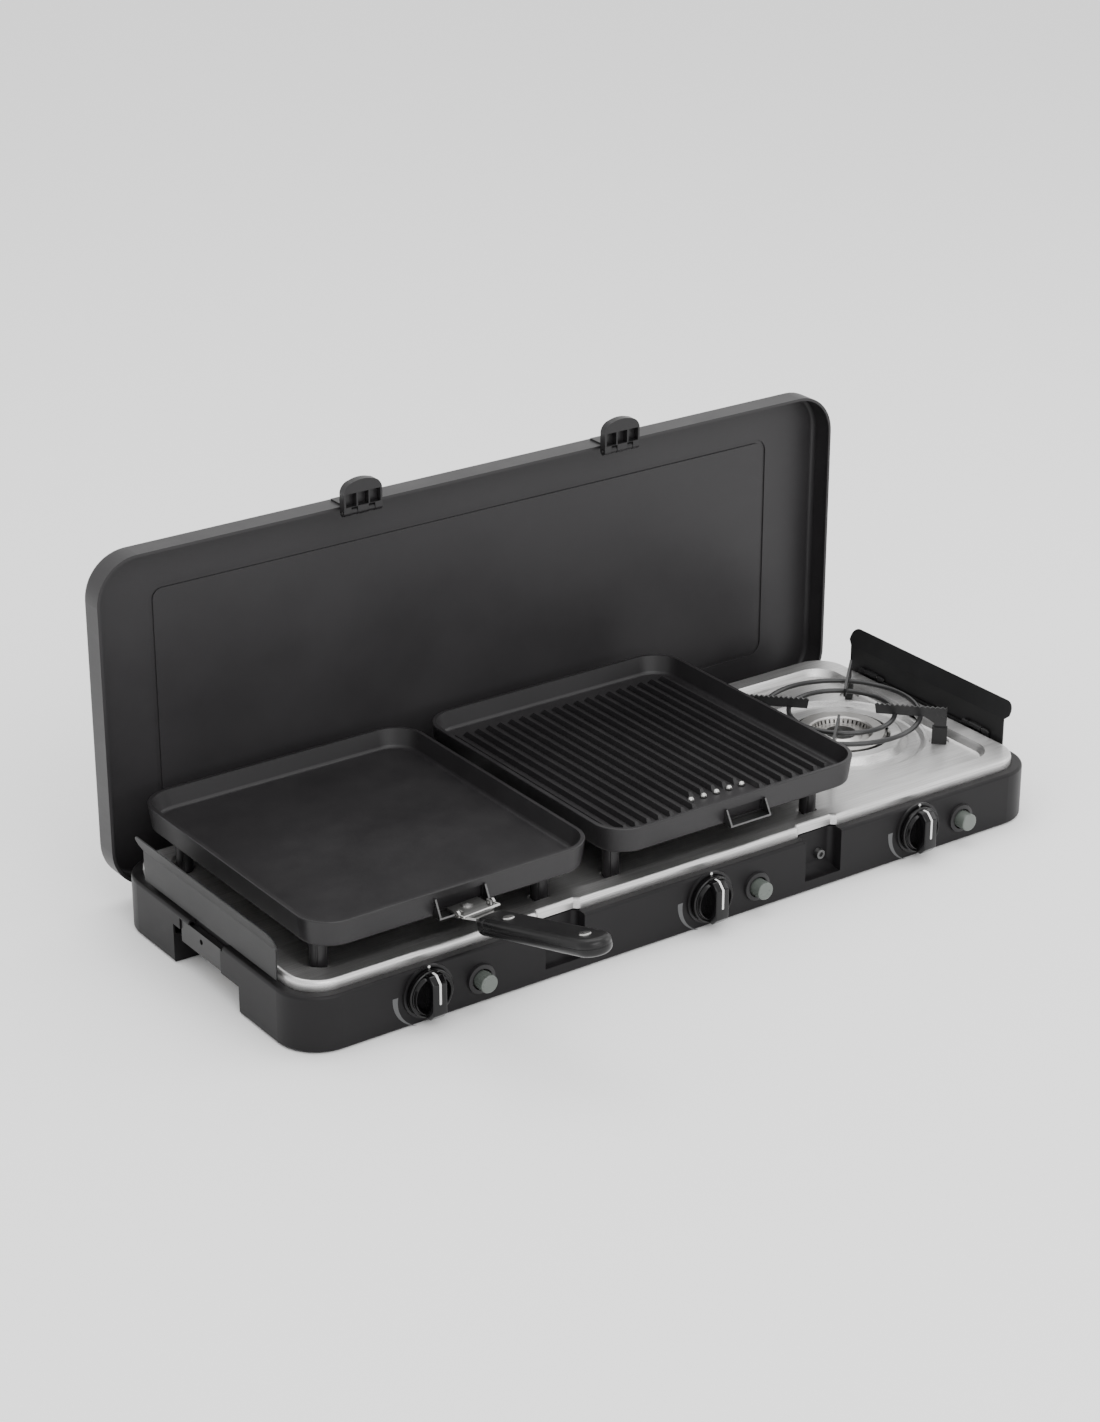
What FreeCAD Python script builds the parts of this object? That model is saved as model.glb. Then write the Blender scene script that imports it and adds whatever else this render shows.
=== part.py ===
import FreeCAD, Part
import math
import os

# Three-burner camping stove with lid, two cast plates, pot support and folding windshields.
# Millimetres. +X right, +Y towards the lid, +Z up. Origin: centre of the resting face.

V = FreeCAD.Vector

# ---------------------------------------------------------------- driving dimensions
BASE_LEN = 850.0
BASE_DEPTH = 330.0
BASE_TOP = 55.0
CORNER_R = 41.0
WALL = 2.0
FRONT = -BASE_DEPTH / 2
REAR = BASE_DEPTH / 2
LEFT = -BASE_LEN / 2

HOB_INSET = 10.5
HOB_TOP = 65.0
FIELD_TOP = 57.0
SEAT_Z = 55.4
SEAT_R = 11.0
BOOT_R = 98.5
SHEET = 1.2
HOB_HALF_X = BASE_LEN / 2 - HOB_INSET
HOB_HALF_Y = BASE_DEPTH / 2 - HOB_INSET
HOB_R = CORNER_R - HOB_INSET + 2.0
RIM_BAND = 20.0

BURNER_X = (-255.0, 55.0, 308.0)
SIDES = ("left", "middle", "right")
KNOB_OFFSET = -42.0
IGNITER_OFFSET = 14.0
KNOB_Z = 31.0
IGNITER_Z = 25.5
KNOB_R = 22.8
HUB_TOP = 60.0
JET_Z = 37.0

LATCH_X = 149.6
RECESS_HALF = 21.5
RECESS_DEPTH = 15.0
RECESS_BOTTOM = 12.0
SCOOP_R = 10.0
NOTCH_HALF = 19.5
NOTCH_DEPTH = 4.5

STUD_Z = 29.0
STUD_OUT = 6.0

LID_FACE_Y = 169.4
LID_BOTTOM_Z = 21.8
LID_HEIGHT = 329.0
LID_TOP_Z = LID_BOTTOM_Z + LID_HEIGHT
LID_DEPTH = 28.0
LID_R = 43.0
LID_SHEET = 1.5
HEM = 2.8
LID_PIVOT = V(0, 149.6, 37.2)
LID_ARM_X = 200.0
PIN_R = 2.5
PIN_FIT = 0.05

PLATE_LEN = 297.0
PLATE_DEPTH = 321.5
PLATE_TOP = 115.0
PLATE_WALL_H = 25.5
PLATE_X = {"flat": -249.75, "ribbed": 63.0}
PLATE_Y = 10.2
PLATE_RIM = 4.0
PLATE_LEAN = 3.5
POCKET_DEEP = 3.0
PLATE_FLOOR = 97.0
LOOPS = {"flat": {"x": -252.0, "half": 27.0, "low": 91.5, "rise": 17.0},
         "ribbed": {"x": 65.5, "half": 23.5, "low": 90.5, "rise": 15.0}}
STRAP = 1.8
FOOT_R = 8.0
FOOT_DX = (-128.0, 105.0)
FOOT_Y = 117.0

SHIELD_X = 418.6
SHIELD_T = 1.2
SHIELD_PIVOT_X = 416.2
SHIELD_PIVOT_Z = 67.5

HANDLE_ROOT = V(-250.0, -158.0, 96.6)
HANDLE_YAW = 5.0
HANDLE_RISE = 14.0
TONGUE_BEND = 44.0
GRIP_START = -16.0
GRIP_END = 143.0
GRIP_HALF = 17.0
GRIP_DEEP = 8.0
RIVET_Y = (-15.2, -118.4)
BAIL_Y = -11.0
BAIL_Z = 2.6

SUPPORT_WIRE_Z = 82.0
SUPPORT_WIRE_R = 2.5
ARM_TOP = 94.5
SPIGOT_R = 4.6
SPIGOT_Z = 19.0

os.makedirs("parts", exist_ok=True)


# ---------------------------------------------------------------- helpers
def save(name, *solids):
    shape = solids[0] if len(solids) == 1 else Part.makeCompound(list(solids))
    shape.exportStep("parts/" + name + ".step")


def box(x0, x1, y0, y1, z0, z1):
    return Part.makeBox(x1 - x0, y1 - y0, z1 - z0, V(x0, y0, z0))


def rod(radius, start, end):
    axis = end - start
    return Part.makeCylinder(radius, axis.Length, start, axis)


def tube(outer, inner, start, end):
    axis = end - start
    step = axis * (1.0 / axis.Length)
    bore = Part.makeCylinder(inner, axis.Length + 2, start - step, axis)
    return Part.makeCylinder(outer, axis.Length, start, axis).cut(bore)


def round_wire(half_x, half_y, radius, z, cx=0.0, cy=0.0):
    """Rounded rectangle lying in a level plane."""
    edges = []
    bend = radius * math.sin(math.radians(45))
    corners = ((1, -1), (1, 1), (-1, 1), (-1, -1))
    for i, (sx, sy) in enumerate(corners):
        hub = V(cx + sx * (half_x - radius), cy + sy * (half_y - radius), z)
        side = V(sx * radius, 0, 0)
        end = V(0, sy * radius, 0)
        first, last = (end, side) if i % 2 == 0 else (side, end)
        mid = V(sx * bend, sy * bend, 0)
        edges.append(Part.Arc(hub + first, hub + mid, hub + last).toShape())
    joined = []
    for i, arc in enumerate(edges):
        follow = edges[(i + 1) % 4]
        joined.append(arc)
        joined.append(Part.LineSegment(arc.Vertexes[-1].Point, follow.Vertexes[0].Point).toShape())
    return Part.Wire(joined)


def slab(half_x, half_y, radius, z0, z1, cx=0.0, cy=0.0):
    face = Part.Face(round_wire(half_x, half_y, radius, z0, cx, cy))
    return face.extrude(V(0, 0, z1 - z0))


def taper(low, high, cx=0.0, cy=0.0):
    """Solid between two rounded rectangles; each is (half_x, half_y, radius, z)."""
    return Part.makeLoft([round_wire(*low, cx, cy), round_wire(*high, cx, cy)], True, True)


def polygon(points, thickness):
    """Flat plate from an outline, thickened along a vector."""
    return Part.Face(Part.makePolygon(points + [points[0]])).extrude(thickness)


def revolve(profile, cx=0.0, cy=0.0):
    """Turned solid from (radius, z) pairs about a vertical axis."""
    points = [V(cx + r, cy, z) for r, z in profile]
    face = Part.Face(Part.makePolygon(points + [points[0]]))
    return face.revolve(V(cx, cy, 0), V(0, 0, 1), 360)


def fillet_where(shape, radius, test):
    edges = [e for e in shape.Edges if test(e)]
    return shape.makeFillet(radius, edges)


def at_height(z):
    def test(edge):
        return all(abs(v.Point.z - z) < 0.01 for v in edge.Vertexes)
    return test


def mirror_x(shape):
    return shape.mirror(V(0, 0, 0), V(1, 0, 0))


def pair(maker, x):
    """The same solid at +x and -x."""
    return [maker(x), maker(-x)]


# ---------------------------------------------------------------- base
def latch_recess(x):
    """Pocket in the front wall: what is removed, and the pressed sheet that lines it."""
    back = FRONT + RECESS_DEPTH
    cut = box(x - RECESS_HALF, x + RECESS_HALF, FRONT - 1, back, RECESS_BOTTOM, BASE_TOP + 1)
    cut = fillet_where(cut, 6.0, lambda e: abs(e.Length - BASE_TOP - 1 + RECESS_BOTTOM) < 0.01
                       and e.Vertexes[0].Point.y > back - 1)
    scoop = rod(SCOOP_R, V(x - RECESS_HALF, back - SCOOP_R, RECESS_BOTTOM + SCOOP_R),
                V(x + RECESS_HALF, back - SCOOP_R, RECESS_BOTTOM + SCOOP_R))
    corner = box(x - RECESS_HALF, x + RECESS_HALF, back - SCOOP_R, back, RECESS_BOTTOM, RECESS_BOTTOM + SCOOP_R)
    cut = cut.cut(corner.cut(scoop))
    lining = box(x - RECESS_HALF - WALL, x + RECESS_HALF + WALL, FRONT, back + WALL,
                 RECESS_BOTTOM - WALL, BASE_TOP - 1)
    return cut, lining


def base_shell():
    half_x, half_y = BASE_LEN / 2, BASE_DEPTH / 2
    body = slab(half_x, half_y, CORNER_R, 1.0, BASE_TOP)
    body = fillet_where(body, 2.5, at_height(1.0))
    body = fillet_where(body, 3.0, at_height(BASE_TOP))
    body = body.cut(slab(half_x - WALL, half_y - WALL, CORNER_R - WALL, 0, BASE_TOP - WALL))
    lip_x, lip_y = HOB_HALF_X + 0.6, HOB_HALF_Y + 0.6
    body = body.cut(slab(lip_x, lip_y, HOB_R + 0.6, BASE_TOP - WALL - 1, BASE_TOP + 1))
    lip = slab(lip_x + 1.4, lip_y + 1.4, HOB_R + 2.0, BASE_TOP - 7, BASE_TOP - 1)
    body = body.fuse(lip.cut(slab(lip_x, lip_y, HOB_R + 0.6, BASE_TOP - 8, BASE_TOP)))
    for x in (-LATCH_X, LATCH_X):
        cut, lining = latch_recess(x)
        body = body.fuse(lining).cut(cut)
        wall_y = FRONT + RECESS_DEPTH
        stud_x = x + math.copysign(STUD_OUT, x)
        body = body.cut(rod(2.6, V(stud_x, wall_y - 4, STUD_Z), V(stud_x, wall_y + 5, STUD_Z)))
    for x in BURNER_X:
        body = body.cut(rod(7.0, V(x + KNOB_OFFSET, FRONT - 1, KNOB_Z), V(x + KNOB_OFFSET, FRONT + 3, KNOB_Z)))
        hole_x = x + IGNITER_OFFSET
        body = body.cut(rod(9.5, V(hole_x, FRONT - 1, IGNITER_Z), V(hole_x, FRONT + 3, IGNITER_Z)))
    body = body.fuse(hose_bay()).cut(hose_bay_space())
    for x in (-LID_ARM_X, LID_ARM_X):
        body = body.cut(box(x - 8.5, x + 8.5, REAR - 12, REAR + 1, 31.5, BASE_TOP + 1))
    for x, y in TAB_PLACES:
        body = body.fuse(corner_tab(x, y))
    return body


TAB_PLACES = [(x, y) for x in (-330, -90, 230) for y in (-151, 151)]


def corner_tab(x, y):
    """Small tab inside the wall that takes a bottom screw."""
    outer = math.copysign(REAR - WALL / 2, y)
    y0, y1 = sorted((y - math.copysign(6, y), outer))
    return box(x - 8, x + 8, y0, y1, 6.2, 9.2).cut(rod(2.0, V(x, y, 5), V(x, y, 10)))


BAY_IN = LEFT + 38.0


def hose_bay():
    return box(LEFT + WALL / 2, BAY_IN + WALL, -61, 59, 1, 29.5)


def hose_bay_space():
    """Open connection bay in the left wall, stepped up to take the side clip, and the finger slot above it."""
    low = box(LEFT - 1, BAY_IN, -59, 57, -1, 27.5)
    middle = box(LEFT - 1, LEFT + WALL + 4, -28, 44.6, 20, 51)
    rear = box(LEFT - 1, LEFT + WALL + 4, 44, 57, 20, 40)
    slot = box(LEFT - 1, LEFT + HOB_INSET - 2.2, -32, 28, 50.5, BASE_TOP + 1)
    inlet = rod(6.0, V(BAY_IN - 1, 0, SPIGOT_Z), V(BAY_IN + WALL + 1, 0, SPIGOT_Z))
    return low.fuse(middle).fuse(rear).fuse(slot).fuse(inlet)


def bottom_plate():
    plate = slab(BASE_LEN / 2 - WALL - 0.4, BASE_DEPTH / 2 - WALL - 0.4, CORNER_R - WALL - 0.4, 5.0, 6.2)
    plate = plate.cut(box(LEFT - 1, BAY_IN + WALL + 0.5, -61.5, 59.5, 4, 8))
    for x, y in TAB_PLACES:
        plate = plate.cut(rod(2.2, V(x, y, 4), V(x, y, 8)))
    for cx in BURNER_X:
        for i in range(5):
            x = cx + (i - 2) * 16
            plate = plate.cut(slab(3.0, 24.0, 2.9, 4, 8, x, 0))
    return plate


def rubber_feet():
    places = [(x, y) for x in (-370, 370) for y in (-120, 120)] + [(0, 0)]
    return [revolve([(0, 0), (10, 0), (12, 2), (12, 5), (0, 5)], x, y) for x, y in places]


def bottom_screws():
    screws = []
    for x, y in TAB_PLACES:
        head = revolve([(0, 2.6), (2.5, 2.8), (3.9, 4.0), (3.9, 5.0), (1.9, 5.0), (1.9, 11.5), (0, 11.5)], x, y)
        cross = box(x - 2.2, x + 2.2, y - 0.4, y + 0.4, 2, 3.8).fuse(box(x - 0.4, x + 0.4, y - 2.2, y + 2.2, 2, 3.8))
        screws.append(head.cut(cross))
    return screws


# ---------------------------------------------------------------- hob
def hob_block(inset, low, high, edge_r):
    """Solid of the hob's outline, stepped inward in front of each latch recess, with a rounded top edge."""
    block = slab(HOB_HALF_X - inset, HOB_HALF_Y - inset, HOB_R - inset, low, high)
    front = -HOB_HALF_Y + inset
    for x in (-LATCH_X, LATCH_X):
        outline = [V(x - NOTCH_HALF - 4.5, front - 1, low - 1), V(x - NOTCH_HALF - 4.5, front, low - 1),
                   V(x - NOTCH_HALF, front + NOTCH_DEPTH, low - 1), V(x + NOTCH_HALF, front + NOTCH_DEPTH, low - 1),
                   V(x + NOTCH_HALF + 4.5, front, low - 1), V(x + NOTCH_HALF + 4.5, front - 1, low - 1)]
        block = block.cut(polygon(outline, V(0, 0, high - low + 2)))
    return fillet_where(block, edge_r, at_height(high))


def seat_places():
    """Where the plate feet and the pot support boots stand in the hob."""
    places = [(PLATE_X[k] + dx, y) for k in PLATE_X for dx in FOOT_DX for y in (-FOOT_Y, FOOT_Y)]
    return places + [round_burner(BURNER_X[2], 0, BOOT_R, 45 + 90 * i) for i in range(4)]


def hob_top():
    sheet = hob_block(0, 54.2, HOB_TOP, 4.0).cut(hob_block(SHEET, 53, HOB_TOP - SHEET, 2.8))
    for x in (-LATCH_X, LATCH_X):
        sheet = sheet.cut(box(x - 24, x + 24, -HOB_HALF_Y - 1, -HOB_HALF_Y + 7, 49, 55.3))
    in_x, in_y, in_r = HOB_HALF_X - RIM_BAND, HOB_HALF_Y - RIM_BAND, 26.0
    steps = ((FIELD_TOP, 7.5), (FIELD_TOP + 1.0, 4.5), (HOB_TOP - 2.0, 1.5), (HOB_TOP, 0.0))
    for (low, near), (high, far) in zip(steps, steps[1:]):
        under = [(in_x - near + SHEET, in_y - near + SHEET, in_r - near, low - SHEET),
                 (in_x - far + SHEET, in_y - far + SHEET, in_r - far, high - SHEET)]
        sheet = sheet.fuse(taper(*under))
    for (low, near), (high, far) in zip(steps, steps[1:]):
        above = [(in_x - near, in_y - near, in_r - near, low), (in_x - far, in_y - far, in_r - far, high)]
        sheet = sheet.cut(taper(*above))
    for cx in BURNER_X:
        sheet = sheet.cut(Part.makeCylinder(86.5, 20, V(cx, 0, FIELD_TOP - 10)))
        top = [(87, FIELD_TOP), (84, 56.0), (80, 52.6), (77, 52.0), (69, 52.0), (66.5, 52.6), (62.5, 59.0),
               (60.5, HUB_TOP), (50, HUB_TOP)]
        low = [(r + (0.0 if r > 75 else -0.3), z - SHEET) for r, z in reversed(top)]
        sheet = sheet.fuse(revolve(top + low, cx, 0))
    for x, y in seat_places():
        sheet = sheet.cut(Part.makeCylinder(SEAT_R, 10, V(x, y, 53)))
        cup = [(0, SEAT_Z - SHEET), (SEAT_R, SEAT_Z - SHEET), (SEAT_R, FIELD_TOP), (SEAT_R - 1, FIELD_TOP),
               (SEAT_R - 1.5, SEAT_Z), (0, SEAT_Z)]
        sheet = sheet.fuse(revolve(cup, x, y))
    for x in (-LID_ARM_X, LID_ARM_X):
        sheet = sheet.cut(box(x - 8.5, x + 8.5, HOB_HALF_Y - 9, HOB_HALF_Y + 1, 48, HOB_TOP + 1))
    return sheet


def hob_clips():
    """Folded clips that hold the hob flange to the lip of the base."""
    clips = []
    for x in (-350, -80, 90, 350):
        for side in (-1, 1):
            flange = side * HOB_HALF_Y
            foot = sorted((flange - side * 8, flange + side * 0.4))
            clips.append(box(x - 7, x + 7, foot[0], foot[1], 52.6, 53.8))
    return clips


# ---------------------------------------------------------------- gas train
def gas_rail():
    y, z = -116.0, 22.0
    rail = tube(4.0, 2.6, V(BAY_IN + WALL + 6, y, z), V(BURNER_X[2] + KNOB_OFFSET + 16, y, z))
    cross = tube(4.0, 2.6, V(BAY_IN + WALL + 10, y + 3.2, z), V(BAY_IN + WALL + 10, -6, z))
    return rail.fuse(cross)


def gas_inlet():
    """Hose spigot in the side bay, its lock nut and the elbow block behind the wall."""
    profile = [(1.8, 0), (3.8, 0), (SPIGOT_R, 1.4), (SPIGOT_R, 9.6), (3.9, 10.0), (3.9, 11), (1.8, 11)]
    nipple = revolve(profile)
    nipple.rotate(V(0, 0, 0), V(0, 1, 0), 90)
    nipple.translate(V(BAY_IN - 13.2, 0, SPIGOT_Z))
    nut = hexagon(7.0, 2.6).cut(Part.makeCylinder(1.8, 10, V(0, 0, -1)))
    nut.rotate(V(0, 0, 0), V(0, 1, 0), 90)
    nut.translate(V(BAY_IN - 2.6, 0, SPIGOT_Z))
    stem = tube(5.9, 1.8, V(BAY_IN - 0.1, 0, SPIGOT_Z), V(BAY_IN + WALL + 3, 0, SPIGOT_Z))
    block = box(BAY_IN + WALL + 3, BAY_IN + WALL + 18, -6, 6, 9, 27)
    return nipple.fuse(nut).fuse(stem).fuse(block)


def hexagon(radius, height):
    points = [V(radius * math.cos(math.radians(60 * i)), radius * math.sin(math.radians(60 * i)), 0)
              for i in range(6)]
    return polygon(points, V(0, 0, height))


def valve_body(x):
    block = box(x - 11, x + 11, -150, -106, 14, 42)
    boss = rod(8.5, V(x, -155, KNOB_Z), V(x, -149, KNOB_Z))
    outlet = rod(5.0, V(x, -107, JET_Z), V(x, -101, JET_Z))
    body = block.fuse(boss).fuse(outlet)
    body = body.cut(rod(3.05, V(x, -156, KNOB_Z), V(x, -123, KNOB_Z)))
    return body.cut(rod(4.0, V(x - 12, -116, 22), V(x + 12, -116, 22)))


def gas_jet(x):
    jet = rod(3.4, V(x, -101, JET_Z), V(x, -93, JET_Z))
    return jet.cut(rod(0.5, V(x, -102, JET_Z), V(x, -92, JET_Z)))


def burner_body(cx):
    """Cast mixing chamber with its venturi tube, level with the gas jet."""
    cup = revolve([(18, 25), (43, 25), (43, 55), (18, 55)], cx, 0)
    chamber = revolve([(21, 28), (40, 28), (40, 56), (21, 56)], cx, 0)
    mouth = V(cx + KNOB_OFFSET, -90, JET_Z)
    inner = V(cx - 14, -30, JET_Z)
    cup = cup.fuse(rod(9.5, mouth, inner)).cut(chamber)
    return cup.cut(rod(7.0, mouth - (inner - mouth) * 0.02, inner))


def burner_crown(cx):
    """Flame ring with slots on its inner side."""
    ring = revolve([(29, 55), (46, 55), (46, 60.5), (44, 62.5), (33, 62.5), (31, 61.5), (29, 56)], cx, 0)
    count = 40
    for i in range(count):
        slot = box(28, 35.5, -0.9, 0.9, 56.6, 60.6)
        slot.rotate(V(0, 0, 0), V(0, 0, 1), 360.0 * i / count)
        slot.translate(V(cx, 0, 0))
        ring = ring.cut(slot)
    return ring


def burner_spreader(cx):
    """Inner cover of the mixing chamber with a raised air cone."""
    return revolve([(16, 55.2), (28.7, 55.2), (28.7, 56.2), (22, 56.8), (17.2, 59.4), (16, 59.4)], cx, 0)


def round_burner(cx, cy, radius, degrees):
    angle = math.radians(degrees)
    return cx + radius * math.cos(angle), cy + radius * math.sin(angle)


def thermocouple(cx):
    x, y = round_burner(cx, 0, 48.0, -39)
    return rod(1.2, V(x, y, 44), V(x, y, 64)).fuse(rod(1.6, V(x, y, 40), V(x, y, 58)))


def electrode(cx):
    x, y = round_burner(cx, 0, 48.0, 205)
    return rod(1.6, V(x, y, 40), V(x, y, 60)).fuse(rod(0.8, V(x, y, 60), V(x, y, 65)))


# ---------------------------------------------------------------- controls
def knob_bezel(x):
    return tube(25.6, KNOB_R + 0.5, V(x, FRONT - 2.2, KNOB_Z), V(x, FRONT, KNOB_Z))


def knob(x):
    """Skirt, raised collar and upright grip bar with chamfered ends, and the bore for the spindle."""
    y0 = FRONT - 3.0
    skirt = Part.makeCone(KNOB_R, KNOB_R - 1.2, 5.5, V(x, y0, KNOB_Z), V(0, -1, 0))
    collar = Part.makeCone(KNOB_R - 3.4, KNOB_R - 5.0, 4.5, V(x, y0 - 5.5, KNOB_Z), V(0, -1, 0))
    grip = polygon([V(x - 7.6, y0 - 5, KNOB_Z - 21.4), V(x - 7.6, y0 - 5, KNOB_Z + 21.4),
                    V(x - 7.6, y0 - 12, KNOB_Z + 21.0), V(x - 7.6, y0 - 18, KNOB_Z + 16.0),
                    V(x - 7.6, y0 - 18, KNOB_Z - 16.0), V(x - 7.6, y0 - 12, KNOB_Z - 21.0)], V(15.2, 0, 0))
    grip = fillet_where(grip, 2.2, lambda e: e.Vertexes[0].Point.y < y0 - 11 and e.Vertexes[1].Point.y < y0 - 11)
    body = skirt.fuse(collar).fuse(grip)
    return body.cut(rod(3.0, V(x, y0 + 1, KNOB_Z), V(x, y0 - 14, KNOB_Z)))


def spindle(x):
    return rod(3.0, V(x, -128, KNOB_Z), V(x, FRONT - 16.5, KNOB_Z))


def push_collar(x):
    return tube(6.0, 3.05, V(x, -161.5, KNOB_Z), V(x, -159.5, KNOB_Z))


def igniter_bezel(x):
    profile = [(10.2, 0), (14.5, 0), (14.0, 2.6), (11.0, 3.4), (10.2, 3.4)]
    ring = revolve(profile)
    ring.rotate(V(0, 0, 0), V(1, 0, 0), 90)
    ring.translate(V(x, FRONT, IGNITER_Z))
    return ring


def igniter_button(x):
    profile = [(0, 0), (9.0, 0), (9.0, 20.6), (7.4, 22.5), (0, 22.5)]
    button = revolve(profile)
    button.rotate(V(0, 0, 0), V(1, 0, 0), 90)
    button.translate(V(x, FRONT + 8.0, IGNITER_Z))
    return button


def piezo_unit(x):
    shell = rod(12.0, V(x, FRONT + WALL, IGNITER_Z), V(x, FRONT + 42, IGNITER_Z))
    shell = shell.cut(rod(9.5, V(x, FRONT, IGNITER_Z), V(x, FRONT + 16, IGNITER_Z)))
    return shell.fuse(rod(2.0, V(x, FRONT + 41, IGNITER_Z + 6), V(x, FRONT + 44.5, IGNITER_Z + 6)))


# ---------------------------------------------------------------- lid
def upright(shape):
    """Turn a level solid (x, y, z) into the open lid's frame: x, height, depth behind the rim."""
    shape.rotate(V(0, 0, 0), V(1, 0, 0), 90)
    shape = shape.mirror(V(0, 0, 0), V(0, 1, 0))
    shape.translate(V(0, LID_FACE_Y, LID_BOTTOM_Z + LID_HEIGHT / 2))
    return shape


def lid_shell():
    half_x, half_h = BASE_LEN / 2, LID_HEIGHT / 2
    outer = slab(half_x, half_h, LID_R, 0, LID_DEPTH)
    outer = fillet_where(outer, 6.0, at_height(LID_DEPTH))
    inner = slab(half_x - LID_SHEET, half_h - LID_SHEET, LID_R - LID_SHEET, -1, LID_DEPTH - LID_SHEET)
    inner = fillet_where(inner, 4.5, at_height(LID_DEPTH - LID_SHEET))
    shell = outer.cut(inner)
    hem = slab(half_x, half_h, LID_R, 0, 2.6).cut(slab(half_x - HEM, half_h - HEM, LID_R - HEM, -1, 4))
    shell = shell.fuse(hem)
    bead_x, bead_h, bead_r = 361.0, half_h - 43.0, 16.0
    ridge = slab(bead_x, bead_h, bead_r, LID_DEPTH - 1, LID_DEPTH + 1.2)
    ridge = ridge.cut(slab(bead_x - 7, bead_h - 7, bead_r - 7, LID_DEPTH - 2, LID_DEPTH + 2))
    groove = slab(bead_x - 1.2, bead_h - 1.2, bead_r - 1.2, LID_DEPTH - 2, LID_DEPTH - 0.2)
    groove = groove.cut(slab(bead_x - 5.8, bead_h - 5.8, bead_r - 5.8, LID_DEPTH - 3, LID_DEPTH + 1))
    shell = shell.fuse(ridge).cut(groove)
    for x in (-LATCH_X, LATCH_X):
        notch = box(x - 13, x + 13, half_h - 3, half_h + 1, -1, 2.2)
        shell = shell.cut(notch)
    return upright(shell)


def lid_arm(x):
    """Strap from the hinge eye through the rear slot to the lower wall of the lid."""
    y, z = LID_PIVOT.y, LID_PIVOT.z
    points = [V(x - 7, y, z - 2), V(x - 7, 180, z - 2), V(x - 7, 180, 26), V(x - 7, 173, 26),
              V(x - 7, 173, 23.4), V(x - 7, 191, 23.4), V(x - 7, 191, 26), V(x - 7, 184, 26),
              V(x - 7, 184, z + 2), V(x - 7, y, z + 2)]
    arm = polygon(points, V(14, 0, 0)).fuse(rod(5.5, V(x - 7, y, z), V(x + 7, y, z)))
    return arm.cut(rod(PIN_R + PIN_FIT, V(x - 8, y, z), V(x + 8, y, z)))


def lid_arm_rivets(x):
    rivets = []
    for y in (176.5, 187.5):
        rivets.append(revolve([(0, 26), (3.0, 26), (2.4, 27.6), (0, 28)], x, y))
    return rivets


def hinge_cheeks(x):
    """Two cheeks and their foot on the rear wall of the base."""
    y, z = LID_PIVOT.y, LID_PIVOT.z
    cheeks = []
    for side in (-1, 1):
        x0 = x + side * 7.5 + (0 if side > 0 else -2.5)
        plate = box(x0, x0 + 2.5, y - 8, REAR - WALL, z - 8, z + 6)
        flange = sorted((x0 + 1.25, x0 + 1.25 + side * 12))
        plate = plate.fuse(box(flange[0], flange[1], REAR - WALL - 2, REAR - WALL, z - 8, z + 6))
        cheeks.append(plate.cut(rod(PIN_R, V(x0 - 1, y, z), V(x0 + 4, y, z))))
    return cheeks


def hinge_pin(x):
    y, z = LID_PIVOT.y, LID_PIVOT.z
    pin = rod(PIN_R, V(x - 12, y, z), V(x + 12, y, z))
    return pin.fuse(rod(PIN_R + 1.5, V(x + 12, y, z), V(x + 13.5, y, z)))


LATCH_Y = 163.4
LATCH_Z = LID_TOP_Z - 4.0


def latch(x):
    """Over-centre tab: rounded solid top, three deep pockets between thin ribs, split knuckles below."""
    low, high = LATCH_Z, LATCH_Z + 31.0
    half, y0, deep = 21.0, LATCH_Y - 4.0, 8.0
    outline = Part.Wire([
        Part.LineSegment(V(x - half, y0, low), V(x - half, y0, high - 12)).toShape(),
        Part.Arc(V(x - half, y0, high - 12), V(x - half + 3.6, y0, high - 5),
                 V(x - half + 10, y0, high - 1.8)).toShape(),
        Part.Arc(V(x - half + 10, y0, high - 1.8), V(x, y0, high), V(x + half - 10, y0, high - 1.8)).toShape(),
        Part.Arc(V(x + half - 10, y0, high - 1.8), V(x + half - 3.6, y0, high - 5),
                 V(x + half, y0, high - 12)).toShape(),
        Part.LineSegment(V(x + half, y0, high - 12), V(x + half, y0, low)).toShape(),
        Part.LineSegment(V(x + half, y0, low), V(x - half, y0, low)).toShape()])
    tab = Part.Face(outline).extrude(V(0, deep, 0))
    pocket_half = 5.8
    for dx in (-2 * pocket_half - 1.6, 0, 2 * pocket_half + 1.6):
        tab = tab.cut(box(x + dx - pocket_half, x + dx + pocket_half, y0 - 1, y0 + deep - 1.6, low + 5.5, high - 12.5))
    knuckle = rod(4.0, V(x - half, LATCH_Y, low), V(x + half, LATCH_Y, low))
    tab = tab.fuse(knuckle)
    for dx in (-9.5, 9.5):
        tab = tab.cut(box(x + dx - 3.6, x + dx + 3.6, y0 - 1, y0 + deep + 1, low - 5, low + 5))
    return tab.cut(rod(1.55, V(x - half - 1, LATCH_Y, low), V(x + half + 1, LATCH_Y, low)))


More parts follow.
